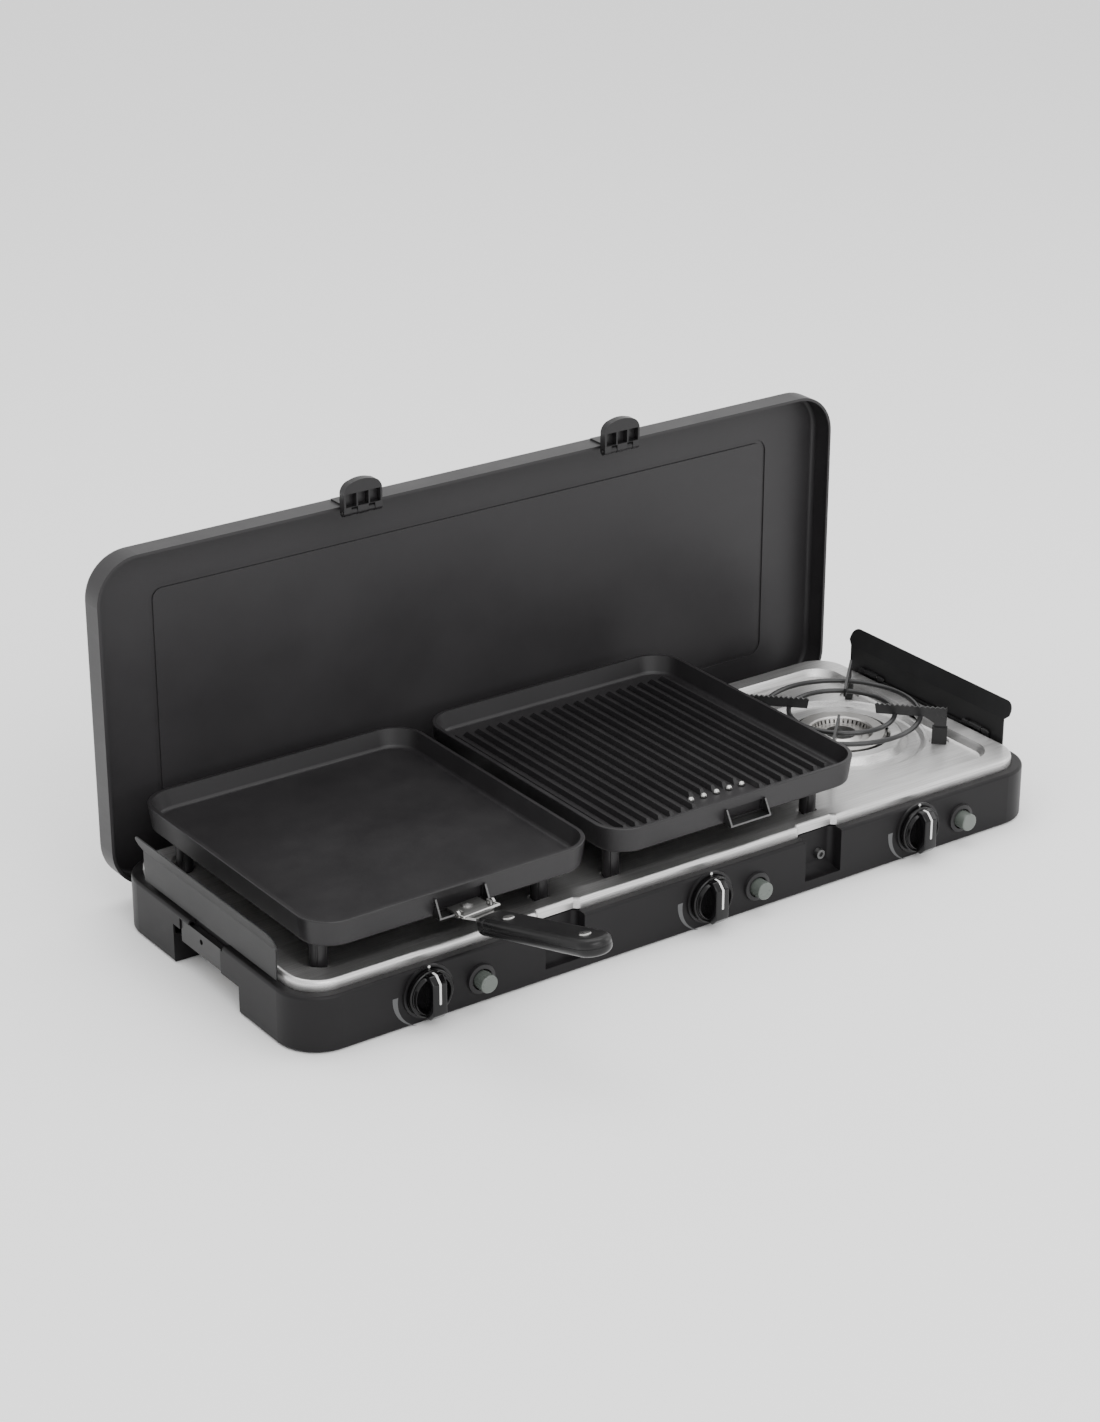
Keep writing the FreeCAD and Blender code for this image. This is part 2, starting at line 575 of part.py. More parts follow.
def latch_bracket(x):
    """Saddle on the lid wall with two eyes for the latch pin."""
    saddle = box(x - 17, x + 17, 171.5, 190, LID_TOP_Z, LID_TOP_Z + 1.6)
    for dx in (-9.5, 9.5):
        eye = rod(3.6, V(x + dx - 3.2, LATCH_Y, LATCH_Z), V(x + dx + 3.2, LATCH_Y, LATCH_Z))
        points = [V(x + dx - 3.2, LATCH_Y, LATCH_Z + 3.6), V(x + dx - 3.2, LATCH_Y - 1, LATCH_Z),
                  V(x + dx - 3.2, LID_FACE_Y - 0.4, LATCH_Z - 1), V(x + dx - 3.2, LID_FACE_Y - 0.4, LID_TOP_Z),
                  V(x + dx - 3.2, 172, LID_TOP_Z), V(x + dx - 3.2, 172, LID_TOP_Z + 1.6)]
        saddle = saddle.fuse(eye).fuse(polygon(points, V(6.4, 0, 0)))
    return saddle.cut(rod(1.5, V(x - 22, LATCH_Y, LATCH_Z), V(x + 22, LATCH_Y, LATCH_Z)))


def latch_pin(x):
    return rod(1.5, V(x - 20.5, LATCH_Y, LATCH_Z), V(x + 20.5, LATCH_Y, LATCH_Z))


def latch_stud(x):
    """Round keeper with a hexagon socket on the back wall of a latch recess."""
    back = FRONT + RECESS_DEPTH
    stud = rod(2.6, V(x, back - 3, STUD_Z), V(x, back + 3, STUD_Z))
    head = Part.makeCone(5.6, 4.6, 4.6, V(x, back, STUD_Z), V(0, -1, 0))
    socket = hexagon(2.6, 3.0)
    socket.rotate(V(0, 0, 0), V(1, 0, 0), 90)
    socket.translate(V(x, back - 2.4, STUD_Z))
    return stud.fuse(head).cut(socket)


# ---------------------------------------------------------------- windshields
def shield_right():
    """Lower upright sheet, upper sheet leaning outwards, and two rolled knuckles."""
    x = SHIELD_X
    lean = math.radians(25)
    fold_z, upper = 88.0, 19.0
    lower = box(x, x + SHIELD_T, -117, 117, FIELD_TOP + 1, fold_z)
    face = Part.Face(shield_outline(x, fold_z, upper))
    leaf = face.extrude(V(SHIELD_T, 0, 0))
    leaf.rotate(V(x, 0, fold_z), V(0, 1, 0), math.degrees(lean))
    body = lower.fuse(leaf)
    pin_x, pin_z = SHIELD_PIVOT_X, SHIELD_PIVOT_Z
    for y in (-80, 80):
        roll = rod(2.4, V(pin_x, y - 9, pin_z), V(pin_x, y + 9, pin_z))
        roll = roll.fuse(box(pin_x, x + 0.2, y - 9, y + 9, pin_z + 1.0, pin_z + 2.4))
        body = body.fuse(roll)
        body = body.cut(rod(1.25, V(pin_x, y - 10, pin_z), V(pin_x, y + 10, pin_z)))
    return body


def shield_outline(x, z, height):
    """Upper leaf outline: wider than the lower sheet, with rounded top corners."""
    half, waist, radius = 122.0, 117.0, 10.0
    bend = radius * (1 - math.sin(math.radians(45)))
    top = z + height
    points = [V(x, -waist, z), V(x, -half, z + 5), V(x, -half, top - radius)]
    edges = [Part.LineSegment(a, b).toShape() for a, b in zip(points, points[1:])]
    edges.append(Part.Arc(points[-1], V(x, -half + bend, top - bend), V(x, -half + radius, top)).toShape())
    edges.append(Part.LineSegment(V(x, -half + radius, top), V(x, half - radius, top)).toShape())
    edges.append(Part.Arc(V(x, half - radius, top), V(x, half - bend, top - bend), V(x, half, top - radius)).toShape())
    points = [V(x, half, top - radius), V(x, half, z + 5), V(x, waist, z), V(x, -waist, z)]
    edges += [Part.LineSegment(a, b).toShape() for a, b in zip(points, points[1:])]
    return Part.Wire(edges)


def shield_bracket():
    """Strip inside the shield, screwed to the hob, with the middle knuckles."""
    pin_x, pin_z = SHIELD_PIVOT_X, SHIELD_PIVOT_Z
    strip = box(pin_x - 0.6, pin_x + 0.6, -100, 100, BASE_TOP, pin_z - 2)
    for y in (-80, 80):
        strip = strip.cut(box(pin_x - 5, pin_x + 5, y - 10, y + 10, pin_z - 5, pin_z + 5))
        for dy in (-14.5, 14.5):
            strip = strip.fuse(rod(2.2, V(pin_x, y + dy - 4, pin_z), V(pin_x, y + dy + 4, pin_z)))
            strip = strip.fuse(box(pin_x - 0.6, pin_x + 0.6, y + dy - 4, y + dy + 4, pin_z - 3, pin_z))
    for y in (-80, 80):
        strip = strip.cut(rod(1.2, V(pin_x, y - 20, pin_z), V(pin_x, y + 20, pin_z)))
    return strip


def shield_pins():
    pin_x, pin_z = SHIELD_PIVOT_X, SHIELD_PIVOT_Z
    return [rod(1.2, V(pin_x, y - 19, pin_z), V(pin_x, y + 19, pin_z)) for y in (-80, 80)]


def side_clip():
    """Pierced tab that covers the rear half of the hose bay."""
    tab = box(LEFT + 1.4, LEFT + 2.8, -27.4, 44, 28, 50.2)
    tab = tab.fuse(box(LEFT + 1.4, LEFT + 7.5, -27.4, 27.4, 48.8, 50.2))
    return tab.cut(rod(2.6, V(LEFT, 8, 42), V(LEFT + 6, 8, 42)))


# ---------------------------------------------------------------- plates
def plate_casting(kind):
    cx, cy = PLATE_X[kind], PLATE_Y
    half_x, half_y, low = PLATE_LEN / 2, PLATE_DEPTH / 2, PLATE_TOP - PLATE_WALL_H
    body = taper((half_x - 3.5, half_y - 3.5, 30.0, low), (half_x, half_y, 33.5, PLATE_TOP), cx, cy)
    body = fillet_where(body, 3.0, at_height(low))
    body = fillet_where(body, 1.0, at_height(PLATE_TOP))
    rim = PLATE_RIM
    well = taper((half_x - rim - 5, half_y - rim - 5, 26.0, PLATE_FLOOR),
                 (half_x - rim, half_y - rim, 29.5, PLATE_TOP + 0.5), cx, cy)
    well = fillet_where(well, 4.0, at_height(PLATE_FLOOR))
    under = slab(half_x - 9, half_y - 9, 25.0, low - 1, PLATE_FLOOR - 4.0, cx, cy)
    body = body.cut(well).cut(under)
    for dx in FOOT_DX:
        for y in (-FOOT_Y, FOOT_Y):
            body = body.fuse(plate_foot(cx + dx, y))
    loop = LOOPS[kind]
    x0, wide = loop["x"] - loop["half"] + 2.5, 2 * loop["half"] - 5
    z0, z1 = loop["low"] + 3, loop["low"] + loop["rise"] - 1
    outer = cy - half_y - 1
    pocket = [V(x0, outer, z0), V(x0, wall_at(z0) + POCKET_DEEP, z0), V(x0, wall_at(z1) + POCKET_DEEP, z1),
              V(x0, outer, z1)]
    return body.cut(polygon(pocket, V(wide, 0, 0)))


def wall_at(z):
    """Where the leaning front wall of a plate is at a height."""
    return PLATE_Y - PLATE_DEPTH / 2 + PLATE_LEAN * (PLATE_TOP - z) / PLATE_WALL_H


def plate_foot(x, y):
    """Round cast foot with a chamfered tip and a flat with two flutes at the front."""
    foot = revolve([(0, SEAT_Z + 0.1), (6.6, SEAT_Z + 0.1), (FOOT_R, SEAT_Z + 2), (FOOT_R, PLATE_FLOOR - 2),
                    (0, PLATE_FLOOR - 2)], x, y)
    for dx in (-5.2, 5.2):
        foot = foot.cut(rod(1.0, V(x + dx, y - FOOT_R + 1.6, 55), V(x + dx, y - FOOT_R + 1.6, 84)))
    return foot


def flat_plate():
    return plate_casting("flat")


def ribbed_plate():
    """Same casting with raised ribs front to back and five fat drain nubs."""
    body = plate_casting("ribbed")
    cx = PLATE_X["ribbed"]
    rib_front, rib_rear, nub_y = -122.0, 144.0, -102.5
    pitch = 13.2
    ribs = []
    for i in range(20):
        x = cx + (i - 9.5) * pitch
        front = nub_y + 3 if 34 < x < 103 else rib_front
        ribs.append(rib_bar(x, front, rib_rear, 5.0))
    for i in range(5):
        x = 38.5 + 15 * i
        dome = Part.makeSphere(3.2, V(x, nub_y, PLATE_FLOOR + 1.0))
        ribs.append(dome.fuse(Part.makeCylinder(3.2, 2.0, V(x, nub_y, PLATE_FLOOR - 1.0))))
    return body.fuse(ribs)


def rib_bar(x, y0, y1, rise):
    """Trapezoid bar with sloping ends."""
    base, top = PLATE_FLOOR - 0.5, PLATE_FLOOR + rise
    low = Part.makePolygon([V(x - 3.4, y0, base), V(x + 3.4, y0, base), V(x + 3.4, y1, base),
                            V(x - 3.4, y1, base), V(x - 3.4, y0, base)])
    high = Part.makePolygon([V(x - 1.5, y0 + 5, top), V(x + 1.5, y0 + 5, top), V(x + 1.5, y1 - 5, top),
                             V(x - 1.5, y1 - 5, top), V(x - 1.5, y0 + 5, top)])
    return Part.makeLoft([low, high], True, True)


def plate_bracket(kind):
    """Strap on the front wall, with two raked cheeks and a bottom bar, that takes the handle's tongue."""
    loop = LOOPS[kind]
    x, half, low = loop["x"], loop["half"], loop["low"]
    face = PLATE_Y - PLATE_DEPTH / 2
    high, out, back = low + loop["rise"], face - 8.5, face + 2.9
    side = [V(x - half, back, low), V(x - half, out, low), V(x - half, out, low + 2), V(x - half, face - 0.8, high),
            V(x - half, back, high)]
    strap = polygon(side, V(2 * half, 0, 0))
    strap = strap.cut(box(x - half + STRAP, x + half - STRAP, out - 1, back + 1, low + STRAP, high + 1))
    skin = taper((PLATE_LEN / 2 - 3.5, PLATE_DEPTH / 2 - 3.5, 30.0, PLATE_TOP - PLATE_WALL_H),
                 (PLATE_LEN / 2, PLATE_DEPTH / 2, 33.5, PLATE_TOP), PLATE_X[kind], PLATE_Y)
    return strap.cut(skin)


# ---------------------------------------------------------------- detachable handle
def place_handle(shape):
    """Local handle frame (x across, -y outwards, z up) to its place on the flat plate."""
    shape.rotate(V(0, 0, 0), V(0, 0, 1), HANDLE_YAW)
    shape.translate(HANDLE_ROOT)
    return shape


def raise_grip(shape):
    """Grip frame, level and starting at the bend, to the handle frame with the grip rising outwards."""
    shape.rotate(V(0, 0, 0), V(1, 0, 0), -HANDLE_RISE)
    shape.translate(V(0, -TONGUE_BEND, 0))
    return shape


def grip_outline(z):
    """Blunt at the tongue, full round at the far end."""
    half, nose = GRIP_HALF, 11.5
    y0, y1 = -GRIP_START, -(GRIP_END - half)
    return Part.Wire([
        Part.Arc(V(-half + 1, y0 - 14, z), V(-nose - 3, y0 - 3.5, z), V(-nose, y0, z)).toShape(),
        Part.LineSegment(V(-nose, y0, z), V(nose, y0, z)).toShape(),
        Part.Arc(V(nose, y0, z), V(nose + 3, y0 - 3.5, z), V(half - 1, y0 - 14, z)).toShape(),
        Part.LineSegment(V(half - 1, y0 - 14, z), V(half, y1, z)).toShape(),
        Part.Arc(V(half, y1, z), V(0, y1 - half, z), V(-half, y1, z)).toShape(),
        Part.LineSegment(V(-half, y1, z), V(-half + 1, y0 - 14, z)).toShape()])


def grip_half(side):
    z0, z1 = (0.15, GRIP_DEEP) if side > 0 else (-GRIP_DEEP, -0.15)
    shell = Part.Face(grip_outline(z0)).extrude(V(0, 0, z1 - z0))
    shell = fillet_where(shell, 6.0, at_height(z1 if side > 0 else z0))
    shell = shell.cut(box(-10.2, 10.2, -GRIP_END + 14, 2, -1.35, 1.35))
    for y in RIVET_Y:
        shell = shell.cut(rod(2.6, V(0, y, -12), V(0, y, 12)))
    shell = raise_grip(shell)
    shell = shell.cut(box(-10.2, 10.2, -TONGUE_BEND - 1, -TONGUE_BEND - GRIP_START + 2, -1.35, 1.35))
    return place_handle(shell)


def handle_tongue():
    """Flat steel tongue, bent up into the grip, with two ears for the wire bail and a locating stud."""
    strip = box(-10, 10, -GRIP_END + 16, 1, -1.2, 1.2)
    for y in RIVET_Y:
        strip = strip.cut(rod(2.6, V(0, y, -2), V(0, y, 2)))
    strip = raise_grip(strip)
    points = [V(-10, -TONGUE_BEND, -1.2), V(-10, -25, -1.2), V(-17, -14, -1.2), V(-17, 7, -1.2),
              V(17, 7, -1.2), V(17, -14, -1.2), V(10, -25, -1.2), V(10, -TONGUE_BEND, -1.2)]
    plate = strip.fuse(polygon(points, V(0, 0, 2.4)))
    for side in (-1, 1):
        plate = plate.fuse(box(side * 16 - 1, side * 16 + 1, BAIL_Y - 3, BAIL_Y + 3, -1.2, BAIL_Z + 2.6))
    plate = plate.cut(rod(1.2, V(-20, BAIL_Y, BAIL_Z), V(20, BAIL_Y, BAIL_Z)))
    stud = revolve([(0, 1.2), (5.5, 1.2), (5.0, 2.6), (0, 3.4)], 0, 0)
    return place_handle(plate.fuse(stud))


def handle_rivets():
    rivets = []
    for y in RIVET_Y:
        shank = rod(2.6, V(0, y, -GRIP_DEEP), V(0, y, GRIP_DEEP))
        rise = GRIP_DEEP
        top = revolve([(0, rise), (5.6, rise), (4.8, rise + 0.9), (0, rise + 1.3)], 0, y)
        low = revolve([(0, -rise), (5.6, -rise), (4.8, -rise - 0.9), (0, -rise - 1.3)], 0, y)
        rivets.append(place_handle(raise_grip(shank.fuse(top).fuse(low))))
    return rivets


def handle_bail():
    """Wire lock lying across the tongue, coiled round its two pivots."""
    r, x = 1.15, 19.4
    tip_y, tip_z = BAIL_Y - 9.5, BAIL_Z + 0.8
    wire = rod(r, V(-x, BAIL_Y, BAIL_Z), V(-14.2, BAIL_Y, BAIL_Z))
    wire = wire.fuse(rod(r, V(14.2, BAIL_Y, BAIL_Z), V(x, BAIL_Y, BAIL_Z)))
    for side in (-1, 1):
        eye = tube(3.4, 1.1, V(side * x - 1.1, BAIL_Y, BAIL_Z), V(side * x + 1.1, BAIL_Y, BAIL_Z))
        arm = rod(r, V(side * x, BAIL_Y, BAIL_Z), V(side * x, tip_y, tip_z))
        wire = wire.fuse(eye).fuse(arm).fuse(Part.makeSphere(r, V(side * x, tip_y, tip_z)))
    wire = wire.fuse(rod(r, V(-x, tip_y, tip_z), V(x, tip_y, tip_z)))
    return place_handle(wire)


# ---------------------------------------------------------------- pot support
def support_frame():
    cx = BURNER_X[2]
    frame = Part.makeTorus(78.5, SUPPORT_WIRE_R, V(cx, 0, SUPPORT_WIRE_Z))
    frame = frame.fuse(Part.makeTorus(53.0, SUPPORT_WIRE_R, V(cx, 0, SUPPORT_WIRE_Z)))
    for i in range(4):
        frame = frame.fuse(support_arm(cx, 45 + 90 * i))
    return frame


def support_arm(cx, degrees):
    """Flat radial arm with a saw-toothed top edge, a gusset and a leg."""
    half = 1.25
    tooth, rise = 5.0, 1.7
    r0, r1, leg = 33.0, 105.0, 92.5
    points = [V(r0 + 1.5, -half, ARM_TOP - 11), V(r0, -half, ARM_TOP - rise)]
    r = r0
    while r + tooth <= r1 - 2:
        points.append(V(r + tooth / 2, -half, ARM_TOP))
        points.append(V(r + tooth, -half, ARM_TOP - rise))
        r += tooth
    points += [V(r1, -half, ARM_TOP), V(r1, -half, 66), V(leg, -half, 66), V(leg, -half, 77),
               V(leg - 10, -half, ARM_TOP - 11)]
    arm = polygon(points, V(0, 2 * half, 0))
    arm.rotate(V(0, 0, 0), V(0, 0, 1), degrees)
    arm.translate(V(cx, 0, 0))
    return arm


def support_boot(degrees):
    boot = box(BOOT_R - 7.5, BOOT_R + 7.5, -3.6, 3.6, SEAT_Z + 0.1, 73)
    boot = boot.cut(box(92.5, 105.0, -1.25, 1.25, 66, 74))
    boot.rotate(V(0, 0, 0), V(0, 0, 1), degrees)
    boot.translate(V(BURNER_X[2], 0, 0))
    return boot


# ---------------------------------------------------------------- write the nodes
save("base_shell", base_shell())
save("bottom_plate", bottom_plate())
save("rubber_feet", *rubber_feet())
save("bottom_screws", *bottom_screws())
save("hob_top", hob_top())
save("hob_clips", *hob_clips())
save("side_clip", side_clip())
save("gas_inlet", gas_inlet())
save("gas_rail", gas_rail())
save("valve_bodies", *[valve_body(x + KNOB_OFFSET) for x in BURNER_X])
save("gas_jets", *[gas_jet(x + KNOB_OFFSET) for x in BURNER_X])
save("thermocouples", *[thermocouple(x) for x in BURNER_X])
save("electrodes", *[electrode(x) for x in BURNER_X])
save("piezo_units", *[piezo_unit(x + IGNITER_OFFSET) for x in BURNER_X])
save("knob_bezels", *[knob_bezel(x + KNOB_OFFSET) for x in BURNER_X])
save("igniter_bezels", *[igniter_bezel(x + IGNITER_OFFSET) for x in BURNER_X])
for side, burner_x in zip(SIDES, BURNER_X):
    save("burner_body_" + side, burner_body(burner_x))
    save("burner_crown_" + side, burner_crown(burner_x))
    save("knob_" + side, knob(burner_x + KNOB_OFFSET))
    save("spindle_" + side, spindle(burner_x + KNOB_OFFSET))
    save("push_collar_" + side, push_collar(burner_x + KNOB_OFFSET))
    save("igniter_button_" + side, igniter_button(burner_x + IGNITER_OFFSET))
save("burner_spreaders", *[burner_spreader(x) for x in BURNER_X])

save("lid_shell", lid_shell())
save("lid_arms", *pair(lid_arm, LID_ARM_X))
save("lid_arm_rivets", *(lid_arm_rivets(LID_ARM_X) + lid_arm_rivets(-LID_ARM_X)))
save("lid_hinge_cheeks", *(hinge_cheeks(LID_ARM_X) + hinge_cheeks(-LID_ARM_X)))
save("lid_hinge_pins", *pair(hinge_pin, LID_ARM_X))
save("latch_left", latch(-LATCH_X))
save("latch_right", latch(LATCH_X))
save("latch_brackets", *pair(latch_bracket, LATCH_X))
save("latch_pins", *pair(latch_pin, LATCH_X))
save("latch_studs", *pair(latch_stud, LATCH_X + STUD_OUT))

save("windshield_right", shield_right())
save("windshield_left", mirror_x(shield_right()))
save("windshield_brackets", shield_bracket(), mirror_x(shield_bracket()))
save("windshield_pins", *(shield_pins() + [mirror_x(p) for p in shield_pins()]))

save("flat_plate", flat_plate())
save("ribbed_plate", ribbed_plate())
save("flat_plate_bracket", plate_bracket("flat"))
save("ribbed_plate_bracket", plate_bracket("ribbed"))
save("handle_grip_top", grip_half(1))
save("handle_grip_bottom", grip_half(-1))
save("handle_tongue", handle_tongue())
save("handle_rivets", *handle_rivets())
save("handle_bail", handle_bail())
save("pot_support_frame", support_frame())
save("pot_support_boots", *[support_boot(45 + 90 * i) for i in range(4)])
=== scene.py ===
import math

import bmesh
import bpy
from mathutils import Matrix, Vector


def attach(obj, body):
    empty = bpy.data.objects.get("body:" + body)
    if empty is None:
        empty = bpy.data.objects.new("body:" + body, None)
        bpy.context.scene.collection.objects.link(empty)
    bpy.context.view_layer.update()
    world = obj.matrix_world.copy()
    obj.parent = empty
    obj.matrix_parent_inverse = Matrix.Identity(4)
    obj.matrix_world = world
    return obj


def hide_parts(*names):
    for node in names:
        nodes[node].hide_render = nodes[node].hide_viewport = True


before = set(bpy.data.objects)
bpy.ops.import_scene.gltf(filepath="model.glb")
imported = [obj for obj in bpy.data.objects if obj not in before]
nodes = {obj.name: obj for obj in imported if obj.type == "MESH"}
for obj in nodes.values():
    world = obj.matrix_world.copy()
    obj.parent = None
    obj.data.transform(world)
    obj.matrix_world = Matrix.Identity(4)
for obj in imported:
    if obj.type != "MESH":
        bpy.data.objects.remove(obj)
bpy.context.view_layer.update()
SIDES = ("left", "middle", "right")


# ---------------------------------------------------------------- shader node groups
def new_group(name, inputs, outputs):
    """An empty shader node group with float inputs and outputs."""
    tree = bpy.data.node_groups.new(name, "ShaderNodeTree")
    tree.interface.new_socket("Vector", in_out="INPUT", socket_type="NodeSocketVector")
    for label, value in inputs:
        socket = tree.interface.new_socket(label, in_out="INPUT", socket_type="NodeSocketFloat")
        socket.default_value = value
    for label in outputs:
        tree.interface.new_socket(label, in_out="OUTPUT", socket_type="NodeSocketFloat")
    return tree, tree.nodes.new("NodeGroupInput"), tree.nodes.new("NodeGroupOutput")


def noise_node(tree, vector, scale, detail=3.0, roughness=0.55):
    node = tree.nodes.new("ShaderNodeTexNoise")
    node.inputs["Detail"].default_value = detail
    node.inputs["Roughness"].default_value = roughness
    tree.links.new(vector, node.inputs["Vector"])
    link_or_set(tree, scale, node.inputs["Scale"])
    return node.outputs["Fac"]


def link_or_set(tree, value, socket):
    if isinstance(value, (int, float)):
        socket.default_value = value
    else:
        tree.links.new(value, socket)


def maths(tree, operation, first, second=0.0, third=0.0):
    node = tree.nodes.new("ShaderNodeMath")
    node.operation = operation
    for socket, value in zip(node.inputs, (first, second, third)):
        link_or_set(tree, value, socket)
    return node.outputs[0]


def spread(tree, value, low, high, to_low=0.0, to_high=1.0):
    """Remap a value, held inside its new range."""
    node = tree.nodes.new("ShaderNodeMapRange")
    for socket, number in zip(list(node.inputs)[:5], (value, low, high, to_low, to_high)):
        link_or_set(tree, number, socket)
    return node.outputs[0]


def stretched(tree, vector, scale):
    node = tree.nodes.new("ShaderNodeMapping")
    node.inputs["Scale"].default_value = scale
    tree.links.new(vector, node.inputs["Vector"])
    return node.outputs[0]


def grain_group():
    """Fine pebbled surface of a powder coat or a moulded skin, with slow cloudiness."""
    inputs = [("Scale", 900.0), ("Cloud Scale", 9.0)]
    tree, start, end = new_group("pebble_grain", inputs, ["Height", "Cloud"])
    fine = noise_node(tree, start.outputs["Vector"], start.outputs["Scale"], 2.0)
    cell = tree.nodes.new("ShaderNodeTexVoronoi")
    tree.links.new(start.outputs["Vector"], cell.inputs["Vector"])
    tree.links.new(start.outputs["Scale"], cell.inputs["Scale"])
    bumps = maths(tree, "MULTIPLY_ADD", cell.outputs["Distance"], 0.6, fine)
    tree.links.new(bumps, end.inputs["Height"])
    cloud = noise_node(tree, start.outputs["Vector"], start.outputs["Cloud Scale"], 5.0, 0.6)
    tree.links.new(cloud, end.inputs["Cloud"])
    return tree


def streak_group():
    """Long polishing lines along X, broken by slow smears."""
    tree, start, end = new_group("polish_streaks", [("Scale", 60.0)], ["Height", "Streak", "Smear"])
    along = stretched(tree, start.outputs["Vector"], (0.25, 26.0, 26.0))
    lines = noise_node(tree, along, start.outputs["Scale"], 4.0, 0.7)
    tree.links.new(lines, end.inputs["Height"])
    tree.links.new(spread(tree, lines, 0.3, 0.7), end.inputs["Streak"])
    smear = noise_node(tree, stretched(tree, start.outputs["Vector"], (3.0, 9.0, 9.0)), 2.0, 4.0, 0.6)
    tree.links.new(spread(tree, smear, 0.35, 0.7), end.inputs["Smear"])
    return tree


def settle_group():
    """Dust and rubbed marks: more on faces that look up, broken by noise."""
    tree, start, end = new_group("settled_dust", [("Scale", 35.0)], ["Dust", "Rub"])
    geometry = tree.nodes.new("ShaderNodeNewGeometry")
    split = tree.nodes.new("ShaderNodeSeparateXYZ")
    tree.links.new(geometry.outputs["Normal"], split.inputs[0])
    facing = spread(tree, split.outputs["Z"], 0.2, 1.0)
    patches = noise_node(tree, start.outputs["Vector"], start.outputs["Scale"], 6.0, 0.65)
    patchy = spread(tree, patches, 0.42, 0.8)
    tree.links.new(maths(tree, "MULTIPLY", facing, patchy), end.inputs["Dust"])
    rub = noise_node(tree, stretched(tree, start.outputs["Vector"], (1.0, 1.0, 3.0)), 14.0, 8.0, 0.7)
    tree.links.new(spread(tree, rub, 0.52, 0.72), end.inputs["Rub"])
    return tree


GRAIN = grain_group()
STREAKS = streak_group()
SETTLED = settle_group()


# ---------------------------------------------------------------- materials
def begin_material(name):
    material = bpy.data.materials.new(name)
    material.use_nodes = True
    tree = material.node_tree
    shader = tree.nodes["Principled BSDF"]
    place = tree.nodes.new("ShaderNodeTexCoord").outputs["Object"]
    return material, tree, shader, place


def use_group(tree, group, place, **values):
    node = tree.nodes.new("ShaderNodeGroup")
    node.node_tree = group
    tree.links.new(place, node.inputs["Vector"])
    for label, value in values.items():
        node.inputs[label.replace("_", " ")].default_value = value
    return node.outputs


def mix_colours(tree, factor, first, second):
    node = tree.nodes.new("ShaderNodeMix")
    node.data_type = "RGBA"
    link_or_set(tree, factor, node.inputs["Factor"])
    for socket, colour in ((node.inputs[6], first), (node.inputs[7], second)):
        if isinstance(colour, tuple):
            socket.default_value = (*colour, 1.0)
        else:
            tree.links.new(colour, socket)
    return node.outputs[2]


def bump_normal(tree, shader, height, strength, distance):
    node = tree.nodes.new("ShaderNodeBump")
    node.inputs["Strength"].default_value = strength
    node.inputs["Distance"].default_value = distance
    tree.links.new(height, node.inputs["Height"])
    tree.links.new(node.outputs[0], shader.inputs["Normal"])


def coated(name, dark, light, rough, grain=900.0, strength=0.25, dust=0.02, metallic=0.0, coat=0.0,
           shine=0.35):
    """Paint, non-stick coating, rubber or moulded plastic: two close tones over a pebbled skin."""
    material, tree, shader, place = begin_material(name)
    skin = use_group(tree, GRAIN, place, Scale=grain)
    marks = use_group(tree, SETTLED, place)
    tone = mix_colours(tree, spread(tree, skin["Cloud"], 0.3, 0.7), dark, light)
    dusty = mix_colours(tree, maths(tree, "MULTIPLY", marks["Dust"], dust), tone, (0.42, 0.41, 0.39))
    tree.links.new(dusty, shader.inputs["Base Color"])
    gloss = spread(tree, skin["Cloud"], 0.25, 0.75, rough - 0.05, rough + 0.06)
    gloss = maths(tree, "MULTIPLY_ADD", marks["Rub"], -0.05, gloss)
    tree.links.new(gloss, shader.inputs["Roughness"])
    shader.inputs["Metallic"].default_value = metallic
    shader.inputs["Coat Weight"].default_value = coat
    shader.inputs["Coat Roughness"].default_value = 0.2
    shader.inputs["Specular IOR Level"].default_value = shine
    bump_normal(tree, shader, skin["Height"], strength, 0.0002)
    return material


def polished(name, dark, light, rough, streaks=60.0, strength=0.12, anisotropy=0.5, metallic=1.0):
    """Bare metal with a directional polish and slow smears."""
    material, tree, shader, place = begin_material(name)
    lines = use_group(tree, STREAKS, place, Scale=streaks)
    marks = use_group(tree, SETTLED, place)
    tone = mix_colours(tree, lines["Streak"], dark, light)
    tree.links.new(mix_colours(tree, maths(tree, "MULTIPLY", marks["Dust"], 0.06), tone, (0.5, 0.49, 0.47)),
                   shader.inputs["Base Color"])
    gloss = spread(tree, lines["Smear"], 0.0, 1.0, rough - 0.08, rough + 0.12)
    tree.links.new(maths(tree, "MULTIPLY_ADD", lines["Streak"], 0.05, gloss), shader.inputs["Roughness"])
    shader.inputs["Metallic"].default_value = metallic
    shader.inputs["Anisotropic"].default_value = anisotropy
    bump_normal(tree, shader, lines["Height"], strength, 0.0001)
    return material


